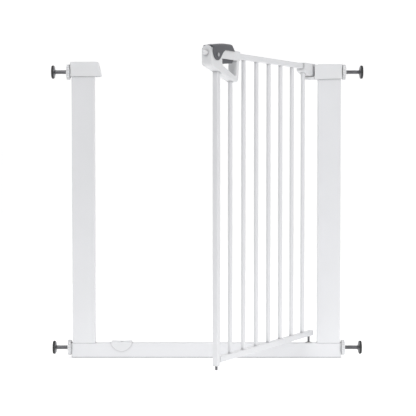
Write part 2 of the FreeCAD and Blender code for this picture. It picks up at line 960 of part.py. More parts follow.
def make_upper_hinge_bush():
    """Nylon bush that turns on the pin with the door, and lets the door slide up it."""
    low = size.ear_top + 0.1
    flange_top = size.bush_flange_top
    top = size.bush_top
    bore = size.upper_pin_bore
    body = turned_piece(
        "upper_hinge_bush",
        [
            (bore, low),
            (size.bush_flange_radius, low),
            (size.bush_flange_radius, flange_top),
            (size.bush_radius, flange_top),
            (size.bush_radius, top),
            (bore, top),
        ],
    )
    key = new_sketch(body, "XY", flange_top)
    half_key = size.bush_key_width / 2
    rectangle(key, -size.bush_key_reach, -size.bush_radius + 1, -half_key, half_key)
    pad(body, key, top - flange_top)
    finish_on_door(body)


def make_hinge_sleeve():
    """Moulded knuckle on the top rail's end."""
    body = new_body("hinge_sleeve")
    radius = size.knuckle_radius
    low = size.sleeve_low
    top = size.sleeve_top
    length = size.sleeve_length
    reach = size.knuckle_reach
    plan = new_sketch(body, "XY", low)
    outline(
        plan,
        [
            (-reach, -radius),
            (length, -radius),
            (length, radius),
            (-reach, radius, radius, -1),
            (-reach - radius, 0, radius, -1),
        ],
    )
    solid = pad(body, plan, top - low)
    top_rim = edges_where(solid, lambda box: box.ZMin > SIZES["sleeve_top"] - 1e-3)
    fillet(body, solid, top_rim, 1)
    # the underside rises in one arc to the rail
    underside = new_sketch(body, "XZ")
    below = low - 2
    outline(
        underside,
        [
            (size.sleeve_curve_start, low, size.sleeve_curve_radius, -1),
            (length, size.sleeve_mouth_low),
            (length + 2, size.sleeve_mouth_low),
            (length + 2, below),
            (size.sleeve_curve_start, below),
        ],
    )
    pocket(body, underside, radius * 2 + 2, 0)
    socket = new_sketch(body, "XZ")
    gap = size.slip_gap
    rail_top = size.top_rail_low + size.rail_side
    rectangle(
        socket, size.top_rail_start - gap, length + 1, size.top_rail_low - gap, rail_top + gap
    )
    pocket(body, socket, size.rail_side + gap * 2, 0)
    bush_room = size.bush_top - low + 2.2
    drill(body, "XY", low, 0, 0, size.bush_radius + size.part_gap, bush_room, 1)
    half_key = size.bush_key_width / 2 + size.part_gap
    keyway = (
        -size.bush_key_reach - size.part_gap, -size.bush_radius + 1, -half_key, half_key
    )
    cut_box(body, "XY", low, keyway, size.bush_top - low + 1)
    # seam round the knuckle's end
    root = radius - size.sleeve_seam_depth
    seam = new_sketch(body, "XY", size.sleeve_seam - size.sleeve_seam_width / 2)
    outside = radius + 2
    seam_end = 2
    outline(
        seam,
        [
            (seam_end, -outside),
            (seam_end, -root),
            (-reach, -root, root, 1),
            (-reach - root, 0, root, 1),
            (-reach, root),
            (seam_end, root),
            (seam_end, outside),
            (-reach - outside, outside),
            (-reach - outside, -outside),
        ],
    )
    pocket(body, seam, size.sleeve_seam_width)
    # the first bar passes through the underside to the rail
    first_bar = size.stile_r - size.bar_pitch * BAR_COUNT
    bar_hole = size.bar_radius + gap
    drill(body, "XY", low - 1, first_bar, 0, bar_hole, size.top_rail_low - low + 1, 1)
    # screw hole and head room under the rail
    head_room = size.sleeve_mouth_low - low + 1
    drill(body, "XY", low - 1, SLEEVE_SCREW_R, 0, size.screw_head_hole, head_room, 1)
    drill(body, "XY", low - 1, SLEEVE_SCREW_R, 0, size.screw_hole, 20, 1)
    finish_on_door(body)
    head_top = SIZES["sleeve_mouth_low"] - 2
    place = (Vector(SLEEVE_SCREW_R, 0, head_top), Vector(0, 0, -1))
    screw_group("sleeve_screw", [place], 12, "door")


# ---------------------------------------------------------------------------
# handle: two shells, thumb slider, latch bolt and finger trigger
# ---------------------------------------------------------------------------

HANDLE_SCREWS = [(531, 748), (461, 722), (413, 741)]  # (x, z) on the door
handle_face = size.handle_half
finger_top = size.top_rail_low - size.finger_drop
TRIGGER_START = 434
TRIGGER_END = 485.4


GRIP_OUTER = [(406, 757), (412.8, 701.5), (546, 738.3)]  # (x, z) of the loop under the rail
GRIP_HOLE = [(418.5, 757), (421, 717), (486, 741.2), (488, 757)]


def make_grip(body, way):
    """The loop below the rail, soft at all its edges, up to the finger hole's flat top."""
    loop = new_sketch(body, "XZ")
    left, low, right = GRIP_OUTER
    hole_left, hole_low, hole_high, hole_right = GRIP_HOLE
    outline(
        loop,
        [
            (left[0], finger_top),
            low,
            right,
            (right[0], finger_top),
            (hole_right[0], finger_top),
            hole_high,
            hole_low,
            (hole_left[0], finger_top),
        ],
    )
    feature = pad(body, loop, handle_face, way)
    for point, radius in ((low, 10), (hole_low, 6), (hole_high, 8)):
        corner = edges_along(feature, AXES["XZ"], [Vector(point[0], 0, point[1])])
        feature = fillet(body, feature, corner, radius)
    face = SIZES["handle_half"]
    top = SIZES["top_rail_low"] - SIZES["finger_drop"]
    end = right[0]

    def soft(box):
        on_face = abs(box.YMin - way * face) < 1e-3 and abs(box.YMax - way * face) < 1e-3
        return on_face and box.ZMin < top - 1e-3 and box.XMin < end - 1e-3

    fillet(body, feature, edges_where(feature, soft), size.handle_round)


def add_top_bar(body, way):
    """The straight part round the rail, with the raised block at its end."""
    bar = new_sketch(body, "XZ")
    block = size.handle_block_start
    end = size.handle_end
    outline(
        bar,
        [
            (404, size.handle_top),
            (402, finger_top),
            (end, finger_top),
            (end, size.handle_top, 9, -1),
            (block + 3, size.handle_block),
            (block, size.handle_block),
            (block, size.handle_top),
        ],
    )
    pad(body, bar, handle_face, way)
    # the end is flat, with a round corner below
    beyond = new_sketch(body, "XZ")
    outline(
        beyond,
        [
            (end, finger_top),
            (end, 746, 10, 1),
            (533, 734.6),
            (533, 700),
            (560, 700),
            (560, finger_top),
        ],
    )
    pocket(body, beyond, handle_face + 1, way)
    # seen from its end, the block is an arch round the bolt
    arch = new_sketch(body, "YZ", block - 0.2)
    spring_line = size.handle_block - handle_face
    outside = way * (handle_face + 2)
    above = size.handle_block + 2
    outline(
        arch,
        [
            (0, size.handle_block, handle_face, way),
            (way * handle_face, spring_line),
            (outside, spring_line),
            (outside, above),
            (0, above),
        ],
    )
    pocket(body, arch, 10)


def tab_outline(sketch, hood_end):
    """The slider's side tab, a rounded shield."""
    outline(
        sketch,
        [
            (hood_end, 777),
            (hood_end, 768),
            (530.5, 758.5, 19.2, 1),
            (500, 756),
            (488.5, 768.5),
            (479, 774.5),
            (479, 777),
        ],
    )


def make_handle_shell(name, way):
    """One half of the handle. way is +1 for the half that faces forward on the open door."""
    body = new_body(name)
    make_grip(body, way)
    add_top_bar(body, way)

    # channel for the top rail, and for the trigger's cheeks beside it
    gap = size.slip_gap
    rail_low = size.top_rail_low
    rail_top = rail_low + size.rail_side
    channel = half_rail + gap
    cut_box(body, "XZ", 0, (400, 487, rail_low - gap, rail_top + gap), channel, way)
    trigger_half = size.handle_half - size.handle_wall
    cheek_room = (TRIGGER_START - 1.5, TRIGGER_END + 1.5, finger_top - 1, rail_top - 2)
    cut_box(body, "XZ", 0, cheek_room, trigger_half, way)
    # bolt channel, and the slot that the slider's leg moves along
    bolt_room = new_sketch(body, "XZ")
    bore = size.bolt_bore
    height = size.bolt_height
    rectangle(bolt_room, 486, size.leg_end + 0.6, height - bore, size.handle_top + 1)
    pocket(body, bolt_room, size.leg_half + size.part_gap, way)
    drill(body, "YZ", 485, 0, height, bore, 60, 1)
    # hollow head, and sockets for the stile and the last bar
    head_room = (509, 526, 742, 756)
    cut_box(body, "XZ", 0, head_room, trigger_half, way)
    stile_low_x = size.stile_r - half_rail - gap
    stile_high_x = size.stile_r + half_rail + gap
    cut_box(
        body, "XZ", 0, (stile_low_x, stile_high_x, 715, size.stile_top + gap), channel, way
    )
    last_bar = size.stile_r - size.bar_pitch
    bar_top = size.last_bar_top + gap
    drill(body, "XY", 700, last_bar, 0, size.bar_radius + gap, bar_top - 700, 1)
    # raised pad that the slider's tab rubs along
    rub = new_sketch(body, "XZ", way * handle_face)
    outline(
        rub,
        [
            (539.8, 776.5),
            (532.6, 758, 21, 1),
            (498.6, 754.6),
            (487, 767.2),
            (477, 773.6),
            (477, 776.5),
        ],
    )
    pad(body, rub, size.rub_pad, way)
    # screws go in from the back shell
    for x, z in HANDLE_SCREWS:
        if way > 0:
            drill(body, "XZ", 0, x, z, size.screw_hole, 8.5, 1)
        else:
            drill(body, "XZ", -handle_face - 1, x, z, size.screw_hole, handle_face + 2, 1)
            head_room = size.screw_head_deep + 1
            drill(body, "XZ", -handle_face - 1, x, z, size.screw_head_hole, head_room + 0.4, 1)
    finish_on_door(body)


def make_handle_screws():
    head_at = -SIZES["handle_half"] + 0.4
    backwards = Vector(0, -1, 0)
    places = [(Vector(x, head_at, z), backwards) for x, z in HANDLE_SCREWS]
    screw_group("handle_screws", places, 19, "door")


def make_thumb_slider():
    """Dark hood over the handle, with a shield-shaped tab down each side and a leg to the bolt."""
    body = new_body("thumb_slider")
    hood_low = size.handle_top + size.part_gap
    hood_end = size.handle_block_start - size.part_gap
    view = new_sketch(body, "XZ")
    skirt = 775
    outline(
        view,
        [
            (427, skirt),
            (441, 790.6, 420, 1),
            (hood_end, 783),
            (hood_end, skirt),
        ],
    )
    width = size.tab_face * 2
    hood = pad(body, view, width, 0)
    crest = edges_along(hood, AXES["XZ"], [Vector(441, 0, 790.6)])
    rounded = fillet(body, hood, crest, 5)
    face = SIZES["tab_face"]

    def soft(box):
        return box.YLength < 1e-3 and abs(box.YMin) > face - 1e-3 and box.ZMax > 782

    fillet(body, rounded, edges_where(rounded, soft), 7)
    tab = new_sketch(body, "XZ")
    tab_outline(tab, hood_end)
    pad(body, tab, width, 0)
    # room between the two skirts for the handle
    inner = size.tab_face - size.tab_thick
    below = new_sketch(body, "XZ")
    rectangle(below, 420, 545, 740, hood_low)
    pocket(body, below, inner * 2, 0)
    # hollow hood
    cut_box(body, "XZ", 0, (446, 524, hood_low - 1, 781), 16, 0)
    # leg with a fork over the bolt's neck
    leg = new_sketch(body, "XZ")
    rectangle(leg, size.leg_start, size.leg_end, 760, 782)
    pad(body, leg, size.leg_half * 2, 0)
    fork = size.bolt_neck_radius + 0.1
    cut_box(
        body, "YZ", size.leg_start - 1, (-fork, fork, 759, size.bolt_height + fork), 10, 1
    )
    finish_on_door(body)


def make_latch_bolt():
    """White round bolt with a domed nose, drawn along Z and laid along the door."""
    radius = size.bolt_radius
    neck = size.bolt_neck_radius
    nose = size.bolt_tip - radius
    body = turned_piece(
        "latch_bolt",
        [
            (0, size.bolt_rear),
            (radius, size.bolt_rear),
            (radius, size.bolt_neck_start),
            (neck, size.bolt_neck_start),
            (neck, size.bolt_neck_end),
            (radius, size.bolt_neck_end),
            (radius, nose, radius, -1),
            (0, size.bolt_tip),
        ],
    )
    lay_along_door(body, size.bolt_height)


def lay_along_door(item, height):
    """Place a piece drawn upwards along Z so that it runs along the door at a height."""
    across = Rotation(Vector(0, 0, 1), 180 + SIZES["door_open"])
    lying = Rotation(Vector(0, 1, 0), 90)
    item.Placement = Placement(Vector(0, 0, 0), across.multiply(lying))
    bind(item, "Placement.Base.x", size.hinge_x)
    bind(item, "Placement.Base.z", height)
    NODES.append(item)


def coil(radius, wire, low, high, turns):
    """A compression spring along Z with its wire's centre on a helix."""
    height = high - low - wire
    helix = Part.makeHelix(height / turns, height, radius)
    helix.translate(Vector(0, 0, low + wire / 2))
    start = helix.Edges[0].valueAt(helix.Edges[0].FirstParameter)
    tangent = helix.Edges[0].tangentAt(helix.Edges[0].FirstParameter)
    ring = Part.Wire(Part.Circle(start, tangent, wire / 2).toShape())
    sweep = Part.BRepOffsetAPI.MakePipeShell(Part.Wire(helix.Edges))
    sweep.setFrenetMode(True)
    sweep.add(ring)
    sweep.build()
    sweep.makeSolid()
    return sweep.shape()


SPRING_START = 462
BOLT_SPRING_RADIUS = 3.0
BOLT_SPRING_WIRE = 0.9
BOLT_SPRING_TURNS = 9
TRIGGER_SPRINGS = [447, 475]  # x on the door
TRIGGER_FLOOR = 749.6


def make_springs():
    bolt_spring = doc.addObject("Part::Feature", "bolt_spring")
    bolt_spring.Label = "bolt_spring"
    bolt_spring.Shape = coil(
        BOLT_SPRING_RADIUS,
        BOLT_SPRING_WIRE,
        SPRING_START,
        float(sheet.get("bolt_rear")),
        BOLT_SPRING_TURNS,
    )
    lay_along_door(bolt_spring, size.bolt_height)
    trigger_springs = doc.addObject("Part::Feature", "trigger_springs")
    trigger_springs.Label = "trigger_springs"
    coils = []
    for x in TRIGGER_SPRINGS:
        spring = coil(2.9, 0.7, TRIGGER_FLOOR, float(sheet.get("top_rail_low")), 5)
        spring.translate(Vector(x, 0, 0))
        coils.append(spring)
    trigger_springs.Shape = Part.makeCompound(coils)
    finish_on_door(trigger_springs)


def make_spring_seat():
    """Plastic block inside the top rail that the bolt's spring pushes against."""
    body = new_body("spring_seat")
    half_inner = half_rail - size.rail_wall - size.slip_gap
    middle = top_rail_middle
    section = new_sketch(body, "YZ", SPRING_START - 10)
    rectangle(section, -half_inner, half_inner, middle - half_inner, middle + half_inner)
    pad(body, section, 10)
    finish_on_door(body)


def make_finger_trigger():
    """Dark channel under the rail that the fingers squeeze upwards."""
    body = new_body("finger_trigger")
    cheek_top = 766
    view = new_sketch(body, "XZ")
    outline(
        view,
        [
            (TRIGGER_START, cheek_top),
            (TRIGGER_START, 752),
            (TRIGGER_START + 4, 747.4),
            (480, 743.4, 7, -1),
            (TRIGGER_END, 749.5),
            (TRIGGER_END, cheek_top),
        ],
    )
    outer_half = size.handle_half - size.handle_wall - size.part_gap
    solid = pad(body, view, outer_half * 2, 0)
    lower = edges_where(solid, lambda box: box.YLength < 1e-3 and box.ZMax < 756)
    fillet(body, solid, lower, 1.4)
    channel = half_rail + size.part_gap
    room = new_sketch(body, "XZ")
    outline(
        room,
        [
            (TRIGGER_START - 1, cheek_top + 1),
            (TRIGGER_START - 1, 755),
            (TRIGGER_START + 6, TRIGGER_FLOOR),
            (482, TRIGGER_FLOOR),
            (484, 752),
            (TRIGGER_END + 1, 753),
            (TRIGGER_END + 1, cheek_top + 1),
        ],
    )
    pocket(body, room, channel * 2, 0)
    finish_on_door(body)


# ---------------------------------------------------------------------------
# the whole gate
# ---------------------------------------------------------------------------

for side_name, side_way in SIDES.items():
    make_post(side_name, side_way)
    make_post_plug(side_name, side_way)
    make_beam_plug(side_name, side_way)
make_beam()
make_strike_cap()
make_hinge_bracket()
make_floor_catch()
make_lower_hinge_bush()
make_upper_hinge_pin()
make_frame_screws()

plug_cover = half_width + size.plug_flange
make_spindle_set("top_left", -1, size.spindle_top, size.cap_outer)
make_spindle_set("bottom_left", -1, size.spindle_low, plug_cover)
make_spindle_set("top_right", 1, size.spindle_top, size.bracket_outer)
make_spindle_set("bottom_right", 1, size.spindle_low, plug_cover)

make_rails()
make_stile()
for bar_number in range(1, BAR_COUNT + 1):
    make_bar(bar_number)
make_lower_hinge_pin()
make_bottom_rail_plug()
make_foot()
make_upper_hinge_bush()
make_hinge_sleeve()
make_handle_shell("handle_shell_front", 1)
make_handle_shell("handle_shell_back", -1)
make_handle_screws()
make_thumb_slider()
make_latch_bolt()
make_springs()
make_spring_seat()
make_finger_trigger()
doc.recompute()

for item in doc.Objects:
    assert not {"Invalid", "Error"} & set(item.State), f"{item.Label} is {item.State}"
for node in NODES:
    assert not node.Shape.isNull(), f"{node.Label} has no shape"
    assert node.Shape.isValid(), f"{node.Label} is not valid"
    assert node.Shape.Volume > 0, f"{node.Label} is inside out"

os.makedirs("parts", exist_ok=True)
for node in NODES:
    node.Shape.exportStep(f"parts/{node.Label}.step")
    box = node.Shape.BoundBox
    print(
        f"{node.Label:20s} {len(node.Shape.Solids)} solid(s) {node.Shape.Volume:9.0f} mm3"
        f"  x {box.XMin:7.1f} {box.XMax:7.1f}  y {box.YMin:7.1f} {box.YMax:7.1f}"
        f"  z {box.ZMin:6.1f} {box.ZMax:6.1f}"
    )
print(len(NODES), "nodes")
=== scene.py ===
# The safety gate's looks: finishes for the CAD pieces, rounded edges, threads, springs, a button
# and weld beads, a studio and the camera. Metres. The CAD pieces stay where they are.

import json
import math

import bmesh
import bpy
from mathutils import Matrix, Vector


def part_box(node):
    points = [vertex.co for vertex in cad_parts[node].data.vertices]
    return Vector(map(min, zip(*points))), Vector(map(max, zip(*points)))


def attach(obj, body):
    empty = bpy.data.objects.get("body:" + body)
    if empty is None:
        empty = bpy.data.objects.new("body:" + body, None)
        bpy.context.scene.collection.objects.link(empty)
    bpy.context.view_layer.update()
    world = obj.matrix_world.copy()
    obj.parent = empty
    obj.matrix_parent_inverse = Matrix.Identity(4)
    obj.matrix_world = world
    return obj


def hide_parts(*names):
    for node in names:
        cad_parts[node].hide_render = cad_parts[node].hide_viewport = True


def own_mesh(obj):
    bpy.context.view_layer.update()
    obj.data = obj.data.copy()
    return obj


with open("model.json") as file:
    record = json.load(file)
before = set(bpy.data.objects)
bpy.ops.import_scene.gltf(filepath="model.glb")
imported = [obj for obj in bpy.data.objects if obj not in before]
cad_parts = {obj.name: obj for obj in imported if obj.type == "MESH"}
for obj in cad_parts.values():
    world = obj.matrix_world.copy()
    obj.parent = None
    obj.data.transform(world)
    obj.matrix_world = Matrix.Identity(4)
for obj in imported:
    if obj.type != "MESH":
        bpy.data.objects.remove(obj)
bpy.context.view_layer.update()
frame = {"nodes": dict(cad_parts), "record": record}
nodes = frame["nodes"]

MM = 0.001
DOOR_OPEN = math.radians(60)
HINGE = Vector((271.2 * MM, 0, 0))
ALONG = Vector((-math.cos(DOOR_OPEN), -math.sin(DOOR_OPEN), 0))  # from the hinge to the latch
ACROSS = Vector((math.sin(DOOR_OPEN), -math.cos(DOOR_OPEN), 0))  # the door's forward side
UP = Vector((0, 0, 1))
CORNERS = ("top_left", "bottom_left", "top_right", "bottom_right")


def on_door(r, n, z):
    """A point on the door from its distance along, distance forward and height, in mm."""
    return HINGE + ALONG * (r * MM) + ACROSS * (n * MM) + UP * (z * MM)


# ---------------------------------------------------------------------------
# finishes
# ---------------------------------------------------------------------------


def node_at(tree, kind, **values):
    node = tree.nodes.new(kind)
    for name, value in values.items():
        node.inputs[name.replace("_", " ")].default_value = value
    return node


def finish(name, colour, roughness, metallic=0.0, grain=400.0, grain_depth=0.00002,
           cloud=9.0, colour_drift=0.03, rough_drift=0.08, coat=0.0, subsurface=0.0):
    """A finish with a fine grain, slow drifts of tone and roughness, and painted shade: ambient
    occlusion darkens the base colour in creases and between parts.
    """
    material = bpy.data.materials.new(name)
    material.use_nodes = True
    tree = material.node_tree
    link = tree.links.new
    shader = tree.nodes["Principled BSDF"]
    shader.inputs["Metallic"].default_value = metallic
    shader.inputs["Coat Weight"].default_value = coat
    shader.inputs["Coat Roughness"].default_value = 0.18
    shader.inputs["Subsurface Weight"].default_value = subsurface
    shader.inputs["Subsurface Radius"].default_value = (0.0012, 0.001, 0.0009)
    place = tree.nodes.new("ShaderNodeTexCoord")

    slow = node_at(tree, "ShaderNodeTexNoise", Scale=cloud, Detail=4.0, Roughness=0.55)
    link(place.outputs["Object"], slow.inputs["Vector"])
    tone = tree.nodes.new("ShaderNodeValToRGB")
    tone.color_ramp.elements[0].position = 0.3
    tone.color_ramp.elements[1].position = 0.7
    darker = [max(0.0, part * (1 - colour_drift)) for part in colour]
    lighter = [min(1.0, part * (1 + colour_drift)) for part in colour]
    tone.color_ramp.elements[0].color = (*darker, 1)
    tone.color_ramp.elements[1].color = (*lighter, 1)
    link(slow.outputs["Fac"], tone.inputs["Fac"])
    # painted shade: ambient occlusion darkens the base colour in creases, recesses and between
    # parts, where shade falls
    painted_crease_shade = tree.nodes.new("ShaderNodeAmbientOcclusion")
    painted_crease_shade.samples = 8
    painted_crease_shade.inputs["Distance"].default_value = 7 * MM
    painted_shade_scale = tree.nodes.new("ShaderNodeMapRange")
    painted_shade_scale.inputs["From Min"].default_value = 0.35
    painted_shade_scale.inputs["From Max"].default_value = 0.95
    painted_shade_scale.inputs["To Min"].default_value = 0.5
    painted_shade_scale.inputs["To Max"].default_value = 1.0
    link(painted_crease_shade.outputs["AO"], painted_shade_scale.inputs["Value"])
    tone_under_painted_shade = tree.nodes.new("ShaderNodeVectorMath")
    tone_under_painted_shade.operation = "SCALE"
    link(tone.outputs["Color"], tone_under_painted_shade.inputs[0])
    link(painted_shade_scale.outputs["Result"], tone_under_painted_shade.inputs["Scale"])
    link(tone_under_painted_shade.outputs["Vector"], shader.inputs["Base Color"])

    fine = node_at(tree, "ShaderNodeTexNoise", Scale=grain, Detail=3.0, Roughness=0.6)
    link(place.outputs["Object"], fine.inputs["Vector"])
    spread = tree.nodes.new("ShaderNodeMapRange")
    spread.inputs["To Min"].default_value = max(0.02, roughness - rough_drift)
    spread.inputs["To Max"].default_value = min(1.0, roughness + rough_drift)
    link(fine.outputs["Fac"], spread.inputs["Value"])
    link(spread.outputs["Result"], shader.inputs["Roughness"])

    bump = node_at(tree, "ShaderNodeBump", Strength=0.35, Distance=grain_depth)
    link(fine.outputs["Fac"], bump.inputs["Height"])
    link(bump.outputs["Normal"], shader.inputs["Normal"])
    return material


FINISHES = {
    "white_steel": finish("powder coated steel", (0.795, 0.80, 0.82), 0.36, grain=900.0,
                          grain_depth=0.00003, coat=0.25, colour_drift=0.012),
    "white_plastic": finish("moulded white plastic", (0.79, 0.795, 0.81), 0.42, grain=1600.0,
                            grain_depth=0.000015, colour_drift=0.015, subsurface=0.06),
    "grey_plastic": finish("moulded dark plastic", (0.085, 0.088, 0.10), 0.34, grain=2200.0,
                           grain_depth=0.00003, colour_drift=0.12, coat=0.1),
    "zinc_steel": finish("zinc plated steel", (0.17, 0.17, 0.18), 0.3, metallic=0.95,
                         grain=700.0, cloud=60.0, colour_drift=0.2, rough_drift=0.14),
    "button_plastic": finish("moulded grey plastic", (0.42, 0.425, 0.44), 0.4, grain=2200.0,
                             grain_depth=0.00003, colour_drift=0.06),
    "rubber": finish("black rubber", (0.03, 0.03, 0.031), 0.7, grain=1500.0,
                     grain_depth=0.00006, colour_drift=0.2),
    "nylon": finish("natural nylon", (0.74, 0.735, 0.71), 0.5, grain=1200.0,
                    subsurface=0.15),
}


def dress(item, slot):
    item.data.materials.clear()
    item.data.materials.append(FINISHES[slot])


SLOT_OF = {part["node"]: part["material_slot"] for part in frame["record"]["subparts"]}
for name, item in nodes.items():
    dress(item, SLOT_OF[name])

# ---------------------------------------------------------------------------
# edges: every CAD piece gets the small radius that bent steel and mouldings have
# ---------------------------------------------------------------------------

EDGE_RADIUS = {
    "white_steel": 0.3 * MM,
    "white_plastic": 0.55 * MM,
    "grey_plastic": 0.5 * MM,
    "zinc_steel": 0.15 * MM,
    "rubber": 0.3 * MM,
    "nylon": 0.3 * MM,
}
for name, item in nodes.items():
    join = item.modifiers.new("join", "WELD")
    join.merge_threshold = 0.001 * MM
    edge = item.modifiers.new("edge", "BEVEL")
    edge.width = EDGE_RADIUS[SLOT_OF[name]]
    edge.segments = 2
    edge.limit_method = "ANGLE"
    edge.angle_limit = math.radians(38)
    edge.use_clamp_overlap = True
    # flat faces shade flat beside their rounded edges
    flatten = item.modifiers.new("flatten", "WEIGHTED_NORMAL")
    flatten.weight = 80
    flatten.keep_sharp = True
    item.data.polygons.foreach_set("use_smooth", [True] * len(item.data.polygons))
    item.data.update()

# ---------------------------------------------------------------------------
# extra pieces
# ---------------------------------------------------------------------------


def add_mesh(name, body, slot, points, faces):
    """A smooth mesh piece in the row frame that rides on a body."""
    mesh = bpy.data.meshes.new(name)
    mesh.from_pydata([tuple(point) for point in points], [], faces)
    shell = bmesh.new()
    shell.from_mesh(mesh)
    bmesh.ops.recalc_face_normals(shell, faces=shell.faces)
    shell.to_mesh(mesh)
    shell.free()
    mesh.polygons.foreach_set("use_smooth", [True] * len(mesh.polygons))
    item = bpy.data.objects.new(name, mesh)
    bpy.context.scene.collection.objects.link(item)
    dress(item, slot)
    if body:
        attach(item, body)
    return item


def side_vectors(direction):
    """Two unit vectors square to a direction and to each other."""
    direction = direction.normalized()
    guide = UP if abs(direction.z) < 0.9 else Vector((1, 0, 0))
    first = direction.cross(guide).normalized()
    return first, direction.cross(first).normalized()


def sweep(name, body, slot, sections, closed=False):
    """A tube skinned over rings of points."""
    around = len(sections[0])
    points = [point for ring in sections for point in ring]
    faces = []
    rings = len(sections)
    for ring in range(rings if closed else rings - 1):
        following = (ring + 1) % rings
        for step in range(around):
            beside = (step + 1) % around
            faces.append((
                ring * around + step,
                ring * around + beside,
                following * around + beside,
                following * around + step,
            ))
    if not closed:
        faces.append(tuple(range(around))[::-1])
        faces.append(tuple(range((rings - 1) * around, rings * around)))
    return add_mesh(name, body, slot, points, faces)


THREAD_STEPS = 28  # rings in one turn of a thread
ROOT_SINK = 0.25 * MM  # how far the ridge's root lies inside the rod
ROOT_SHARE = 0.46  # half of the ridge's root, as a share of the pitch
CREST_SHARE = 0.10  # half of the ridge's crest, as a share of the pitch


def helix_steps(start, direction, length, pitch):
    """Points along a helix's axis, each with the direction that points outward there."""
    first, second = side_vectors(direction)
    direction = direction.normalized()
    turns = length / pitch
    count = int(turns * THREAD_STEPS) + 1
    places = []
    for step in range(count):
        share = step / (count - 1)
        angle = 2 * math.pi * turns * share
        outward = first * math.cos(angle) + second * math.sin(angle)
        places.append((start + direction * (length * share), outward))
    return places


def make_thread(name, body, start, direction, length, core, crest, pitch):
    """The ridge of a screw thread round a rod, from a root inside the rod to its crest."""
    direction = direction.normalized()
    rings = []
    places = helix_steps(start, direction, length, pitch)
    last = len(places) - 1
    for index, (centre, outward) in enumerate(places):
        # the ridge fades in and out over its first and last turn
        fade = min(1.0, index / THREAD_STEPS, (last - index) / THREAD_STEPS)
        top = core + (crest - core) * fade
        root = core - ROOT_SINK
        half_root = pitch * ROOT_SHARE
        half_top = pitch * CREST_SHARE
        rings.append([
            centre + outward * root - direction * half_root,
            centre + outward * top - direction * half_top,
            centre + outward * top + direction * half_top,
            centre + outward * root + direction * half_root,
        ])
    thread = sweep(name, body, "zinc_steel", rings)
    thread.data.polygons.foreach_set("use_smooth", [False] * len(thread.data.polygons))
    return thread


COIL_STEPS = 30  # rings in one turn of a spring
WIRE_SIDES = 10
END_RISE = 1.1  # how far a closed end turn rises, in wire thicknesses


def make_coil(name, body, start, direction, length, radius, wire, turns):
    """A compression spring with closed ends."""
    direction = direction.normalized()
    first, second = side_vectors(direction)
    steps = int(turns * COIL_STEPS)
    rings = []
    for step in range(steps + 1):
        share = step / steps
        angle = 2 * math.pi * turns * share
        # the first and last turn lie flat
        flat = 1 / turns
        if share < flat:
            height = share * wire * END_RISE / (flat * length)
        elif share > 1 - flat:
            height = 1 - (1 - share) * wire * END_RISE / (flat * length)
        else:
            low = wire * END_RISE / length
            height = low + (share - flat) / (1 - 2 * flat) * (1 - 2 * low)
        outward = first * math.cos(angle) + second * math.sin(angle)
        centre = start + direction * (wire / 2 + height * (length - wire)) + outward * radius
        rings.append([
            centre
            + outward * (wire / 2 * math.cos(2 * math.pi * k / WIRE_SIDES))
            + direction * (wire / 2 * math.sin(2 * math.pi * k / WIRE_SIDES))
            for k in range(WIRE_SIDES)
        ])
    return sweep(name, body, "zinc_steel", rings)


def make_bead(name, body, slot, centre, normal, loop, fat):
    """A weld bead along a closed loop of (x, y) offsets in mm round a centre on a face."""
    first, second = side_vectors(normal)
    normal = normal.normalized()
    rings = []
    count = len(loop)
    around = 6
    for index, (a, b, out_a, out_b) in enumerate(loop):
        ripple = 1 + 0.12 * math.sin(index * 1.9) + 0.06 * math.sin(index * 0.7)
        outward = first * out_a + second * out_b
        base = centre + first * (a * MM) + second * (b * MM)
        ring = []
        for step in range(around):
            turn = 2 * math.pi * step / around
            ring.append(
                base
                + outward * (fat * MM * ripple * math.cos(turn))
                + normal * (fat * MM * ripple * math.sin(turn))
            )
        rings.append(ring)
    return sweep(name, body, slot, rings, closed=True)


def round_loop(radius, count=36):
    return [
        (
            radius * math.cos(2 * math.pi * k / count),
            radius * math.sin(2 * math.pi * k / count),
            math.cos(2 * math.pi * k / count),
            math.sin(2 * math.pi * k / count),
        )
        for k in range(count)
    ]


# threads on the four tension spindles, from near the head to the rod's end
SPINDLE_RADIUS = 5 * MM
THREAD_PITCH = 2 * MM
THREAD_SINK = 0.02 * MM  # the ridge starts this far inside the rod where it fades out
THREAD_RISE = 0.09 * MM
ROD_END_GAP = 2 * MM
HEAD_DEPTH = 11 * MM
for corner in CORNERS:
    low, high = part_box("spindle_" + corner)
    inward = Vector((1, 0, 0)) if "left" in corner else Vector((-1, 0, 0))
    outer = low.x if "left" in corner else high.x
    start = Vector((outer, 0, (low.z + high.z) / 2)) + inward * HEAD_DEPTH
    length = high.x - low.x - HEAD_DEPTH - ROD_END_GAP
    make_thread("thread_" + corner, "spindle_set_" + corner, start, inward, length,
                SPINDLE_RADIUS - THREAD_SINK, SPINDLE_RADIUS + THREAD_RISE, THREAD_PITCH)

# springs
RAIL_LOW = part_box("top_rail")[0].z
BOLT_SPRING_LENGTH = 34
BOLT_SPRING_SEAT = on_door(462, 0, 765)
BOLT_SPRING_TURNS = 9
TRIGGER_SPRING_R = (447, 475)
TRIGGER_SPRING_TURNS = 5
spring = make_coil("bolt_spring_coil", "door", BOLT_SPRING_SEAT, ALONG,
                   BOLT_SPRING_LENGTH * MM, 3.0 * MM, 0.9 * MM, BOLT_SPRING_TURNS)
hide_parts("bolt_spring")
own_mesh(spring)
TRIGGER_SPRING_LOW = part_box("trigger_springs")[0].z + 0.6 * MM
TRIGGER_SPRING_HIGH = RAIL_LOW - 0.05 * MM
for index, r in enumerate(TRIGGER_SPRING_R, start=1):
    start = on_door(r, 0, 0)
    start.z = TRIGGER_SPRING_LOW
    tall = TRIGGER_SPRING_HIGH - TRIGGER_SPRING_LOW
    spring = make_coil(f"trigger_spring_coil_{index}", "door", start, UP, tall,
                       2.9 * MM, 0.7 * MM, TRIGGER_SPRING_TURNS)
    if index == 1:
        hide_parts("trigger_springs")
    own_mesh(spring)

# a plain round button on the slider's near tab
BUTTON_R = 513
BUTTON_Z = 762
TAB_FACE = 14.5 + 1.35
BUTTON_RADIUS = 4.5 * MM
BUTTON_RISE = 0.6 * MM


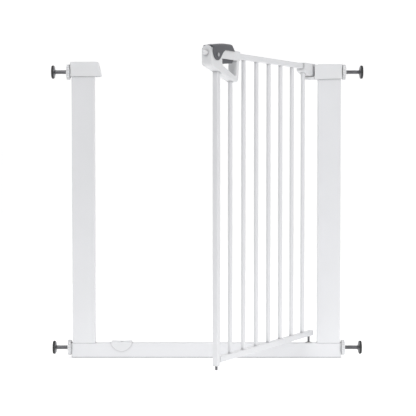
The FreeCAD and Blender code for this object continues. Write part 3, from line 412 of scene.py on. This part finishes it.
def make_button(name, body, slot, centre, normal, radius, rise):
    """A low round button with a rounded rim, sunk a little into the face that it sits on."""
    first, second = side_vectors(normal)
    normal = normal.normalized()
    around = 40
    profile = [(1.0, -0.5), (1.0, 0.35), (0.95, 0.75), (0.86, 1.0), (0.5, 1.0), (0.02, 1.0)]
    rings = []
    for across, up in profile:
        ring = []
        for step in range(around):
            turn = 2 * math.pi * step / around
            outward = first * math.cos(turn) + second * math.sin(turn)
            ring.append(centre + outward * (radius * across) + normal * (rise * up))
        rings.append(ring)
    return sweep(name, body, slot, rings)


button = make_button("slider_button", "latch", "grey_plastic",
                     on_door(BUTTON_R, TAB_FACE, BUTTON_Z), ACROSS, BUTTON_RADIUS, BUTTON_RISE)
dress(button, "button_plastic")

# weld beads where the bars meet the rails, under the same powder coat
BAR_RADIUS = 5.25
BAR_COUNT = 7
BEAD_FAT = 0.75
BEAD_LOOP = round_loop(BAR_RADIUS + 0.1)
for number in range(1, BAR_COUNT + 1):
    low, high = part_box(f"bar_{number}")
    centre = (low + high) / 2
    foot = Vector((centre.x, centre.y, low.z))
    make_bead(f"bar_{number}_foot_weld", "door", "white_steel", foot, UP,
              BEAD_LOOP, BEAD_FAT)
    # the last bar ends inside the handle
    if number < BAR_COUNT:
        head = Vector((centre.x, centre.y, high.z))
        make_bead(f"bar_{number}_head_weld", "door", "white_steel", head, UP,
                  BEAD_LOOP, BEAD_FAT)

# ---------------------------------------------------------------------------
# studio
# ---------------------------------------------------------------------------


def make_sweep_floor():
    """A pale floor that curves up into a backdrop."""
    half = 9.0
    front = -6.0
    back = 3.2
    bend = 1.5
    height = 6.0
    profile = [(front, 0.0), (back, 0.0)]
    for step in range(1, 25):
        angle = math.pi / 2 * step / 24
        profile.append((back + bend * math.sin(angle), bend * (1 - math.cos(angle))))
    profile.append((back + bend, height))
    points = []
    for y, z in profile:
        points.append((-half, y, z))
        points.append((half, y, z))
    faces = [(2 * k, 2 * k + 1, 2 * k + 3, 2 * k + 2) for k in range(len(profile) - 1)]
    item = add_mesh("studio_floor", None, "white_plastic", points, faces)
    item.data.materials.clear()
    paint = bpy.data.materials.new("studio paper")
    paint.use_nodes = True
    shader = paint.node_tree.nodes["Principled BSDF"]
    shader.inputs["Roughness"].default_value = 0.95
    shader.inputs["Emission Color"].default_value = (1, 1, 1, 1)
    # the paper glows where the camera sees it, and darkens nearer the camera than that
    place = paint.node_tree.nodes.new("ShaderNodeTexCoord")
    split = paint.node_tree.nodes.new("ShaderNodeSeparateXYZ")
    glow = paint.node_tree.nodes.new("ShaderNodeMapRange")
    glow.inputs["From Min"].default_value = -1.5
    glow.inputs["From Max"].default_value = -0.85
    glow.inputs["To Min"].default_value = 0.05
    glow.inputs["To Max"].default_value = 0.43
    link = paint.node_tree.links.new
    link(place.outputs["Object"], split.inputs["Vector"])
    link(split.outputs["Y"], glow.inputs["Value"])
    link(glow.outputs["Result"], shader.inputs["Emission Strength"])
    shade = paint.node_tree.nodes.new("ShaderNodeMapRange")
    shade.inputs["From Min"].default_value = -1.5
    shade.inputs["From Max"].default_value = -0.85
    shade.inputs["To Min"].default_value = 0.45
    shade.inputs["To Max"].default_value = 0.9
    link(split.outputs["Y"], shade.inputs["Value"])
    link(shade.outputs["Result"], shader.inputs["Base Color"])
    item.data.materials.append(paint)
    return item


def add_lamp(name, place, target, wide, power):
    lamp = bpy.data.lights.new(name, "AREA")
    lamp.shape = "DISK"
    lamp.size = wide
    lamp.energy = power
    item = bpy.data.objects.new(name, lamp)
    item.location = place
    toward = Vector(target) - Vector(place)
    item.rotation_euler = toward.to_track_quat("-Z", "Y").to_euler()
    bpy.context.scene.collection.objects.link(item)
    return item


make_sweep_floor()
add_lamp("key", (-1.2, -3.4, 2.4), (0, 0, 0.4), 1.6, 34)
add_lamp("fill", (2.2, -2.6, 1.6), (0, 0, 0.4), 2.0, 29)
add_lamp("top", (0.2, 0.0, 3.4), (0, 0, 0.3), 2.2, 30)

world = bpy.data.worlds.new("studio")
world.use_nodes = True
world.node_tree.nodes["Background"].inputs["Color"].default_value = (1, 1, 1, 1)
world.node_tree.nodes["Background"].inputs["Strength"].default_value = 0.35
bpy.context.scene.world = world
bpy.context.scene.view_settings.view_transform = "Standard"
bpy.context.scene.view_settings.look = "None"

# ---------------------------------------------------------------------------
# camera
# ---------------------------------------------------------------------------

camera_data = bpy.data.cameras.new("camera")
camera_data.lens = 105.65
camera_data.sensor_width = 36.0
camera_data.clip_end = 60.0
camera = bpy.data.objects.new("camera", camera_data)
camera.location = (4.5 * MM, -3220.5 * MM, 529.8 * MM)
camera.rotation_euler = (math.radians(90 - 2.3685), 0, 0)
bpy.context.scene.collection.objects.link(camera)
bpy.context.scene.camera = camera
